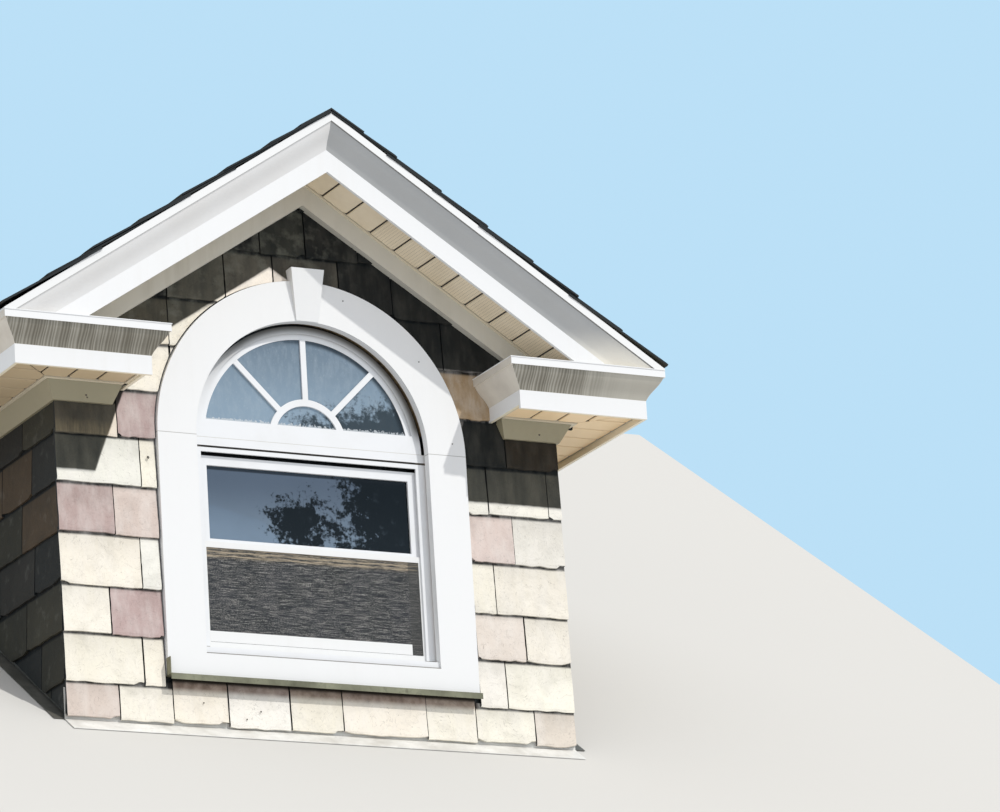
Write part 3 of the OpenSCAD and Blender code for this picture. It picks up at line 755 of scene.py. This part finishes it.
def add_slate(target, place, width, length, thick, tone, rng, trims=(), rag=0.003, beside=False,
              head_shade=0.04):
    """One riven slate with a worn lower edge and painted shade at its head, cut back by the trimming
    planes.
    """
    part = toned_mesh()
    layer = part.verts.layers.float_color["tone"]
    fine = 0.012
    columns = max(3, round(width / (fine if beside else 0.03)))
    # The rows near the head are darkened by head_shade: painted shade under the butt of the course above.
    rows = [0.0, 0.007, 0.25 * length, 0.5 * length, length - 0.023, length - 0.0165, length]
    shades = [1.08, 1.0, 1.0, 0.97, 0.85, head_shade, head_shade]
    if beside:
        count = max(2, round((length - 0.028) / fine))
        rows[2:4] = [0.007 + (length - 0.028) * row / count for row in range(1, count)]
        shades[2:4] = [1.0] * (count - 1)
    bmesh.ops.create_grid(part, x_segments=columns, y_segments=len(rows) - 1, size=0.5)
    shift = rng.uniform(-50.0, 50.0)
    left_chip = rng.uniform(0.004, 0.016) if rng.random() < 0.35 else 0.0
    right_chip = rng.uniform(0.004, 0.016) if rng.random() < 0.35 else 0.0
    for vert in part.verts:
        row = round((vert.co.y + 0.5) * (len(rows) - 1))
        side = vert.co.x
        spot = Vector((side * width * 30.0 + shift, row * 0.7, shift))
        vert[layer] = [min(1.0, share * shades[row]) for share in tone] + [1.0]
        vert.co = Vector((side * width, rows[row], 0.0006 * noise.noise(spot)))
        if row < 2:
            vert.co.y += rag * noise.noise(spot * 0.8) + 0.4 * rag * rng.uniform(-1.0, 1.0)
        if row == 0:
            vert.co.z -= 0.0014
            if side < -0.49:
                vert.co += Vector((0.6 * left_chip, left_chip, 0.0))
            if side > 0.49:
                vert.co += Vector((-0.6 * right_chip, right_chip, 0.0))
        if abs(side) > 0.49:
            vert.co.x += 0.0012 * noise.noise(spot * 1.7) * (1.0 if side > 0 else -1.0)
    part.transform(place)
    cut_back(part, trims)
    if beside:
        moved = {vert: clear_of_casing(vert.co) for vert in part.verts}
        hidden = [face for face in part.faces if all(moved[vert] for vert in face.verts)]
        for vert, spot in moved.items():
            if spot:
                vert.co = spot
        bmesh.ops.delete(part, geom=hidden, context="FACES")
    if not part.faces:
        part.free()
        return
    turn = place.to_3x3()
    thicken(part, -(turn @ UP) * thick)
    part.normal_update()
    across = turn @ ACROSS
    # Painted shade: the side faces take the near-black edge material, so the joints between slates read
    # dark.
    for face in part.faces:
        if abs(face.normal.dot(across)) > 0.6:
            face.material_index = 1
    join(target, part)


TONES = {
    "cream": rgb(242, 236, 221),
    "pale": rgb(240, 237, 226),
    "sand": rgb(234, 224, 206),
    "mauve": rgb(182, 160, 155),
    "rose": rgb(210, 195, 186),
    "greige": rgb(222, 212, 200),
    "lilac": rgb(226, 223, 214),
    "tan": rgb(166, 140, 108),
    "umber": rgb(150, 130, 108),
    "brown": rgb(90, 74, 56),
    "olive": rgb(66, 62, 50),
    "char": rgb(48, 46, 42),
    "dark": rgb(56, 52, 46),
    "ash": rgb(150, 150, 142),
    "coal": rgb(95, 91, 87),
}

# Each course from the foot up: height of its lower edge, where it starts, then each slate's
# right edge and tone
FRONT = [
    (0.018, -0.84, [(-0.667, "rose"), (-0.497, "cream"), (-0.319, "cream"), (-0.115, "pale"),
                    (0.057, "cream"), (0.335, "cream"), (0.503, "cream"), (0.700, "cream"),
                    (0.840, "greige")]),
    (0.126, -0.84, [(-0.585, "cream"), (-0.517, "cream"), (0.517, None), (0.614, "pale"),
                    (0.840, "cream")]),
    (0.275, -0.84, [(-0.683, "cream"), (-0.517, "mauve"), (0.517, None), (0.687, "greige"),
                    (0.840, "cream")]),
    (0.421, -0.84, [(-0.580, "cream"), (-0.517, "pale"), (0.517, None), (0.594, "cream"),
                    (0.840, "cream")]),
    (0.580, -0.84, [(-0.660, "mauve"), (-0.517, "rose"), (0.517, None), (0.667, "rose"),
                    (0.840, "lilac")]),
    (0.732, -0.84, [(-0.569, "pale"), (-0.517, "cream"), (0.517, None), (0.587, "pale"),
                    (0.794, "pale"), (0.840, "pale")]),
    (0.883, -0.84, [(-0.638, "sand"), (-0.430, "mauve"), (0.430, None), (0.656, "coal"),
                    (0.840, "umber")]),
    (1.029, -0.84, [(-0.700, "ash"), (-0.455, "cream"), (-0.390, "cream"), (0.390, None),
                    (0.614, "tan"), (0.900, "coal")]),
    (1.181, -0.64, [(-0.640, "ash"), (-0.457, "sand"), (-0.230, "cream"), (0.230, None),
                    (0.459, "coal"), (0.700, "coal"), (0.900, "coal")]),
    (1.332, -0.60, [(-0.457, "coal"), (-0.263, "cream"), (-0.099, "cream"), (0.120, "greige"),
                    (0.300, "coal"), (0.560, "coal")]),
    (1.501, -0.40, [(-0.140, "coal"), (0.013, "ash"), (0.190, "coal"), (0.400, "coal")]),
    (1.650, -0.24, [(0.000, "coal"), (0.200, "coal")]),
]

# The cheeks' first slates in each course: each one's far edge from the front, and tone
CHEEK = [
    [(0.12, "char"), (0.36, "olive")],
    [(0.18, "olive"), (0.40, "char")],
    [(0.275, "olive"), (0.50, "olive")],
    [(0.20, "char"), (0.46, "dark")],
    [(0.283, "brown"), (0.52, "olive")],
    [(0.195, "char"), (0.42, "brown")],
    [(0.25, "olive"), (0.47, "dark")],
]


def front_slates(*mats):
    half_drip = 0.515
    bed_course = 6
    rng = random.Random(11)
    work = toned_mesh()
    rakes = [(UP * roof_z(0.0, FRIEZE_N - 0.008), slope(side)[1]) for side in (-1, 1)]
    up = Vector((0.0, math.sin(SLATE_LEAN), math.cos(SLATE_LEAN)))
    heads = [foot for foot, _, _ in FRONT[1:]] + [FRONT[-1][0] + EXPOSURE]
    for index, (foot, left, slates) in enumerate(FRONT):
        for right, tone in slates:
            if tone is not None:
                middle = (left + right) / 2.0
                below_sill = index == 0 and abs(middle) < half_drip
                head = SILL_Z if below_sill else heads[index] + LAP
                under_return = index == bed_course and abs(middle) > 0.65
                trims = rakes + [UNDER_BED] if under_return else rakes
                width = right - left - rng.choice([0.0018, 0.004, 0.0055, 0.007])
                origin = Vector((middle, rng.uniform(0.0, 0.0015), foot + rng.uniform(-0.003, 0.003)))
                shade = rng.uniform(0.94, 1.04)
                colour = [min(1.0, share * shade * rng.uniform(0.985, 1.015)) for share in TONES[tone][:3]]
                # Slates under the sill get a lighter painted shade at the head than the others.
                add_slate(work, axes(origin, ACROSS, up), width, head - origin.z,
                          rng.uniform(*SLATE_THICK), colour, rng, trims,
                          beside=1 < index < 10 and abs(middle) < 0.63,
                          head_shade=0.7 if below_sill else 0.04)
            left = right
    piece = finish_mesh("front_slate_courses", work, *mats)
    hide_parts("front_slates")
    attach(piece, "root")


def cheek_slates(*mats):
    rng = random.Random(23)
    work = toned_mesh()
    trims = [(UP * FOOT, MAIN_DOWN), UNDER_BED]
    second = 0.125
    for side in (-1.0, 1.0):
        up = Vector((-side * math.sin(SLATE_LEAN), 0.0, math.cos(SLATE_LEAN)))
        for course, known in enumerate(CHEEK):
            foot = FOOT if course == 0 else second + (course - 1) * EXPOSURE
            head = second + course * EXPOSURE
            plan = list(known)
            end = head / math.tan(MAIN_PITCH) + 0.05
            while plan[-1][0] < end:
                plan.append((plan[-1][0] + rng.uniform(0.15, 0.27),
                             rng.choice(["char", "olive", "dark", "brown", "char"])))
            start = 0.009
            for stop, tone in plan:
                origin = Vector((side * (HALF_W - rng.uniform(0.0, 0.0015)), (start + stop) / 2.0,
                                 foot + rng.uniform(-0.003, 0.003)))
                shade = rng.uniform(0.62, 0.95)
                colour = [share * shade for share in TONES[tone][:3]]
                add_slate(work, axes(origin, DEEP * side, up), stop - start - rng.uniform(0.002, 0.005),
                          head - foot + LAP, rng.uniform(*SLATE_THICK), colour, rng, trims)
                start = stop
    piece = finish_mesh("cheek_slate_courses", work, *mats)
    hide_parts("cheek_slates")
    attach(piece, "root")


def roof_slates(*mats):
    """Both slopes: full slates that lap two courses, the last course shorter, cut at ridge and valley."""
    exposure = 0.178
    head_lap = 0.03
    edge_x = 1.099
    gable_y = -0.253
    length = edge_x / math.cos(ROOF_PITCH)
    count = math.floor(length / exposure)
    for side, seed, name, node in ((-1.0, 31, "left_slate_slope", "left_roof_slates"),
                                   (1.0, 47, "right_slate_slope", "right_roof_slates")):
        rng = random.Random(seed)
        work = toned_mesh()
        down, out = slope(side)
        trims = [MAIN_ROOF, (ACROSS * side * 0.004, ACROSS * -side)]
        for course in range(count):
            last = course == count - 1
            butt = length - course * exposure
            span = 2.0 * exposure + head_lap if course < count - 2 else butt + 0.02
            tilt = math.asin(0.0125 / butt if last else 0.0068 / exposure)
            up = -down * math.cos(tilt) - out * math.sin(tilt)
            head_z = RIDGE_Z - math.sin(ROOF_PITCH) * (butt - exposure)
            end = max(0.2, head_z / math.tan(MAIN_PITCH)) + 0.08
            start = gable_y + rng.uniform(-0.004, 0.006)
            narrow = 0.7 if course % 2 else 1.0
            while start < end:
                width = rng.uniform(0.17, 0.30) * narrow
                narrow = 1.0
                lift = 0.0175 if last else rng.uniform(0.0185, 0.0205)
                origin = Vector((0.0, start + width / 2.0, RIDGE_Z))
                origin += down * (butt + rng.uniform(-0.004, 0.003))
                origin += out * lift
                shade = rng.uniform(0.6, 1.3)
                tone = TONES[rng.choice(["char", "char", "dark", "olive"])]
                colour = [share * shade for share in tone[:3]]
                add_slate(work, axes(origin, DEEP * side, up), width - rng.uniform(0.002, 0.005), span,
                          rng.uniform(0.0052, 0.0062), colour, rng, trims, rag=0.004)
                start += width
        piece = finish_mesh(name, work, *mats)
        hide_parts(node)
        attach(piece, "root")


# Soffits; the numbers are the places of their four materials

PLAIN, VENTED, BACKING, CHANNEL = range(4)


def soffit_strip(target, origin, along, run, out, length, cuts, kind=PLAIN, gap=0.007):
    """One lapped panel: along is the way from rib to rib, run the way that the ribs lie."""
    part = bmesh.new()
    bmesh.ops.create_grid(part, x_segments=3, y_segments=2, size=0.5)
    for vert in part.verts:
        at = round((vert.co.x + 0.5) * 3)
        row = round((vert.co.y + 0.5) * 2)
        shift = (0.0004, 0.002, PANEL - gap - 0.0016, PANEL - gap)[at]
        deep = (-0.002, 0.0, 0.0, -0.002)[at]
        reach = (0.0, length - 0.009, length - 0.003)[row]
        if row == 2 and at > 1:
            shift -= 0.009
        vert.co = origin + along * shift + run * reach + out * deep
    cut_back(part, cuts)
    if not part.faces:
        part.free()
        return
    thicken(part, -out * 0.0012)
    for face in part.faces:
        face.material_index = kind
    join(target, part)


def add_bar(target, start, end, side, out, width, thick, cuts, kind):
    """A flat bar from start to end, lying to one side of that line."""
    part = bmesh.new()
    bmesh.ops.create_cube(part, size=1.0)
    run = end - start
    turn = Matrix((run.normalized(), side, out)).transposed()
    bmesh.ops.scale(part, vec=(run.length, width, thick), verts=part.verts)
    bmesh.ops.rotate(part, cent=ORIGIN, matrix=turn, verts=part.verts)
    bmesh.ops.translate(part, vec=(start + end) / 2.0 + side * width / 2.0 - out * thick / 2.0,
                        verts=part.verts)
    cut_back(part, cuts, close=True)
    for face in part.faces:
        face.material_index = kind
    join(target, part)


def rake_soffits(*mats):
    """Narrow panels lapped down each slope, closed by a channel along the frieze."""
    front = RAKE_Y + FASCIA_T
    depth = -FRIEZE_OUT - front
    channel_w = 0.010
    reach = 1.3
    for side, name, node in ((-1.0, "left_rake_panels", "left_rake_soffit"),
                             (1.0, "right_rake_panels", "right_rake_soffit")):
        work = bmesh.new()
        down, out = slope(side)
        under = -out
        top = Vector((0.0, front, RIDGE_Z)) + under * SOFFIT_N
        cuts = [(ORIGIN, ACROSS * -side), (UP * CAP_TOP, -UP)]
        for index in range(14):
            origin = top + down * (index * PANEL - 0.12)
            soffit_strip(work, origin, down, DEEP, under, depth - channel_w, cuts,
                         VENTED if index > 4 else PLAIN, 0.0048)
        back = top - under * PANEL_BACK
        add_bar(work, back - down * 0.2, back + down * reach, DEEP, under, depth, BACKING_T, cuts, BACKING)
        line = top + DEEP * (depth - channel_w) + under * CHANNEL_DROP
        add_bar(work, line - down * 0.2, line + down * reach, DEEP, under, channel_w, CHANNEL_T, cuts,
                CHANNEL)
        piece = finish_mesh(name, work, *mats)
        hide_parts(node)
        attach(piece, "root")


def level_soffits(*mats):
    """Panels under the returns and the eaves, mitred at the corner and trimmed with channels."""
    under = -UP
    channel_w = 0.012
    front = RAKE_Y + FASCIA_T
    eave = EAVE_X - FASCIA_T
    inner = RETURN_X + FASCIA_T
    corner = HALF_W + BED_OUT
    back = SOFFIT_Z / math.tan(MAIN_PITCH)
    work = bmesh.new()
    for side in (-1.0, 1.0):
        across = ACROSS * side

        def at(x, y, drop=0.0):
            return across * x + DEEP * y + UP * (SOFFIT_Z - drop)

        meet = Vector((side * (corner + 0.001), -BED_OUT - 0.001, 0.0))
        mitre = Vector((side, 1.0, 0.0)).normalized()
        for index in range(5):
            soffit_strip(work, at(inner + channel_w + index * PANEL, front), across, DEEP, under,
                         -BED_OUT - channel_w - front, [(meet - mitre * 0.0015, mitre)])
        outer = eave - 0.003
        for index in range(19):
            soffit_strip(work, at(outer, front + channel_w + index * PANEL), DEEP, -across, under,
                         outer - corner - channel_w, [(meet + mitre * 0.0015, -mitre), MAIN_ROOF])
        for start, end, way, width, cuts in (
                ((inner, front), (eave, front), DEEP, -BED_OUT - front, []),
                ((corner, -BED_OUT), (corner, back), across, eave - corner, [MAIN_ROOF])):
            add_bar(work, at(*start, -PANEL_BACK), at(*end, -PANEL_BACK), way, under, width, BACKING_T,
                    cuts, BACKING)
        bed = -BED_OUT - channel_w
        for start, end, way, width, cuts in (
                ((inner, bed), (corner + channel_w, bed), DEEP, channel_w, []),
                ((corner, -BED_OUT), (corner, back), across, channel_w, [MAIN_ROOF]),
                ((inner, front), (inner, -BED_OUT), across, 0.010, [])):
            add_bar(work, at(*start, CHANNEL_DROP), at(*end, CHANNEL_DROP), way, under, width, CHANNEL_T,
                    cuts, CHANNEL)
    piece = finish_mesh("level_soffit_panels", work, *mats)
    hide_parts("eave_soffits")
    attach(piece, "root")


# Screen and small fittings

def screen_cloth(mat):
    """The insect screen's cloth, drawn taut with a faint ripple."""
    width, height = SCREEN_SIZE
    foot_z = 0.280
    cloth_y = 0.0360
    work = bmesh.new()
    bmesh.ops.create_grid(work, x_segments=70, y_segments=30, size=0.5)
    for vert in work.verts:
        x = vert.co.x * width
        z = foot_z + (vert.co.y + 0.5) * height
        ripple = 0.0004 * noise.noise(Vector((x * 9.0, z * 14.0, 3.0)))
        vert.co = Vector((x, cloth_y + ripple, z))
    bmesh.ops.recalc_face_normals(work, faces=work.faces)
    piece = finish_mesh("screen_cloth", work, mat)
    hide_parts("screen_mesh")
    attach(piece, "root")


def screen_foot(mat):
    """The white bar across the foot of the screen."""
    size = (0.668, 0.0018, 0.033)
    centre = (-0.018, 0.0346, 0.2975)
    work = bmesh.new()
    bmesh.ops.create_cube(work, size=1.0)
    bmesh.ops.scale(work, vec=size, verts=work.verts)
    bmesh.ops.translate(work, vec=centre, verts=work.verts)
    bmesh.ops.bevel(work, geom=work.edges[:], offset=0.0006, segments=2, affect="EDGES",
                    profile=0.5, material=-1)
    piece = finish_mesh("screen_foot_bar", work, mat)
    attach(piece, "root")


def fixings(mat):
    """Small screw heads in the frieze boards, the casing and the wall slates."""
    work = bmesh.new()
    spots = [((-0.751, -0.0354, 0.988), 0.0032), ((-0.748, -0.0354, 0.981), 0.0026),
             ((0.759, -0.0354, 0.988), 0.0032),
             ((0.125, -0.0092, 1.368), 0.0026), ((0.372, -0.0092, 1.196), 0.0026),
             ((0.470, -0.0092, 0.943), 0.0024), ((-0.544, -0.0012, 0.823), 0.0046),
             ((-0.400, -0.0005, 0.082), 0.0024), ((-0.262, -0.0005, 0.040), 0.0024),
             ((-0.215, -0.0005, 0.066), 0.0026)]
    turn = Matrix.Rotation(math.radians(90.0), 3, "X")
    for spot, radius in spots:
        part = bmesh.new()
        bmesh.ops.create_cone(part, cap_ends=True, segments=10, radius1=radius, radius2=radius * 0.7,
                              depth=0.0024)
        bmesh.ops.rotate(part, cent=ORIGIN, matrix=turn, verts=part.verts)
        bmesh.ops.translate(part, vec=spot, verts=part.verts)
        join(work, part)
    piece = finish_mesh("screw_heads", work, mat)
    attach(piece, "root")


# Scene

place_camera()
place_lights()
place_floor()

board_white = rgb(232, 232, 231)
white = paint("white paint", board_white, rgb(212, 208, 200), soil=0.2, joint=rgb(176, 174, 170))
# The inside tone is painted light on the fascias' inner faces.
fascia = paint("fascia paint", board_white, rgb(214, 209, 198), soil=0.25, inside=rgb(246, 236, 212))
crown = crown_paint("crown paint", board_white, rgb(112, 105, 90), rgb(186, 181, 168),
                    rgb(226, 219, 206))
# The last tone is the painted shade of the right-hand slope's hollow.
rake_crown = rake_paint("rake crown paint", rgb(232, 232, 230), rgb(230, 229, 227), rgb(180, 180, 178))
frieze = paint("frieze paint", rgb(206, 202, 190), rgb(168, 160, 142), soil=0.6)
bed = paint("bed board paint", rgb(158, 149, 122), rgb(132, 121, 94), soil=0.5)
window_white = sash_paint("window white", rgb(231, 232, 233))
front_slate = slate_finish("front slate", 0.10, front=True)
cheek_slate = slate_finish("cheek slate", 0.35)
roof_slate = slate_finish("roof slate", 0.2)
# Near-black edges on the slates' sides: painted shade in the joints between them.
slate_edge = grained("slate edge", rgb(26, 23, 19), rgb(16, 14, 12))
ridge_slate = grained("ridge slate", rgb(40, 38, 36), rgb(24, 23, 22))
framing = grained("framing", rgb(176, 148, 110), rgb(128, 98, 66))
sheathing = grained("sheathing", rgb(168, 142, 106), rgb(120, 94, 64), felt=True)
flashing = sheet_metal("flashing", rgb(236, 234, 228), rgb(196, 192, 184), 0.6, 0.1)
# The side flashings are the apron's metal painted dark: painted shade under the cheeks.
side_flashing = sheet_metal("side flashing", rgb(104, 100, 92), rgb(66, 62, 54), 0.6, 0.1)
drip = sheet_metal("drip metal", rgb(136, 134, 110), rgb(84, 80, 60), 0.55, 0.2)
panel_plain = soffit_enamel("soffit panel", False)
panel_vented = soffit_enamel("vented soffit panel", True)
# The backing behind the soffit panels is near black: painted shade seen through the panels' joints.
panel_gap = paint("panel gap", rgb(26, 18, 11), rgb(16, 12, 8))
channel = paint("channel", rgb(222, 210, 186), rgb(190, 176, 148))
# The glasses' tones are painted reflections.
glass_fan = fan_glass("fanlight glass", rgb(158, 180, 198), rgb(26, 34, 38))
glass_upper = sash_glass("upper glass", rgb(98, 112, 130), rgb(132, 150, 168), rgb(6, 7, 7))
glass_lower = sash_glass("lower glass", rgb(90, 100, 112), rgb(110, 120, 130), rgb(30, 32, 34))
screen = screen_weave("screen cloth")
screen_bar = paint("screen bar", rgb(230, 230, 228), rgb(210, 206, 200), soil=0.3)
screw = paint("screw head", rgb(92, 86, 76), rgb(60, 54, 46))

assign(white, "side_casings", "arch_casing", "keystone", "bottom_casing")
assign(fascia, "left_rake_fascia", "right_rake_fascia", "left_eave_fascia", "right_eave_fascia",
       "return_caps")
assign(crown, "left_eave_crown", "right_eave_crown")
assign(rake_crown, "left_rake_crown", "right_rake_crown")
assign(frieze, "left_rake_frieze", "right_rake_frieze")
assign(bed, "eave_friezes")
assign(window_white, "window_frame", "upper_sash", "lower_sash", "fanlight_frame", "fanlight_bars")
assign(sheathing, "front_wall", "left_cheek", "right_cheek")
assign(framing, "ridge_board", "left_rafters", "right_rafters", "left_roof_boards",
       "right_roof_boards")
assign(flashing, "apron_flashing")
assign(side_flashing, "side_flashings")
assign(drip, "sill_drip")
assign(ridge_slate, "ridge_cap")
assign(glass_fan, "fanlight_glass")
assign(glass_upper, "upper_glass")
assign(glass_lower, "lower_glass")
assign(screen_bar, "screen_frame")

front_slates(front_slate, slate_edge)
cheek_slates(cheek_slate, slate_edge)
roof_slates(roof_slate, slate_edge)
soffit_mats = (panel_plain, panel_vented, panel_gap, channel)
rake_soffits(*soffit_mats)
level_soffits(*soffit_mats)
screen_cloth(screen)
screen_foot(screen_bar)
fixings(screw)

view = bpy.context.scene.view_settings
view.view_transform = "Standard"
